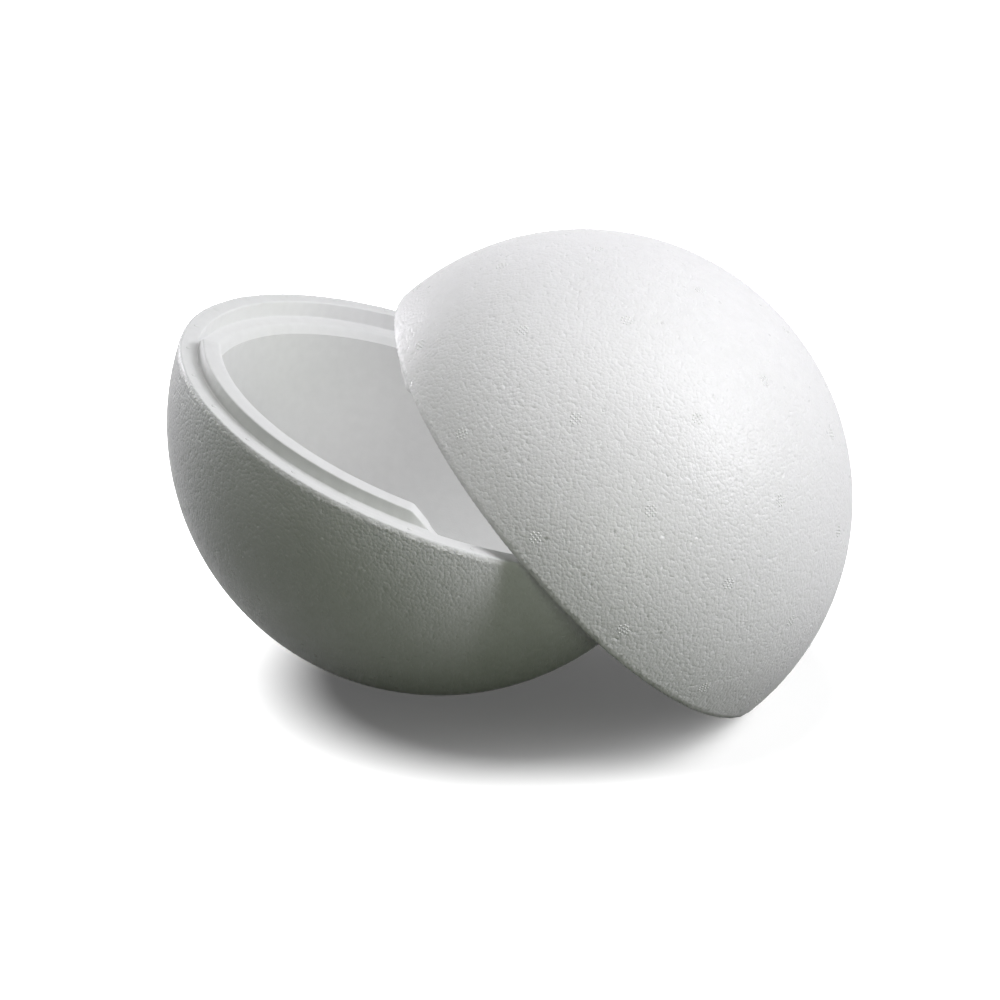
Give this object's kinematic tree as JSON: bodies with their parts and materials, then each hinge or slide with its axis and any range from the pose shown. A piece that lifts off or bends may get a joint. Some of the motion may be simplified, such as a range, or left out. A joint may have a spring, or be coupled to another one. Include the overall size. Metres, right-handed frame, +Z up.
{
  "type": "hollow polystyrene ball in two half shells",
  "caption": "Hollow expanded-polystyrene craft ball, opened: one half shell lies as a bowl and its twin leans over it, each rim stepped with a raised tongue arc and a rebate.",
  "frame": {"origin": "on the ground, below the middle of the pair's bounding box", "axes": "+Z up; +X from the bowl half towards the dome half; the front of the picture looks along +Y"},
  "size_m": [0.3791, 0.3, 0.258],
  "materials": {
    "bead_foam": "white moulded bead foam with a fine cell pattern, matt with a faint waxy sheen"
  },
  "bodies": {
    "root": {"bowl_half": "bead_foam", "dome_half": "bead_foam"}
  },
  "joints": []
}
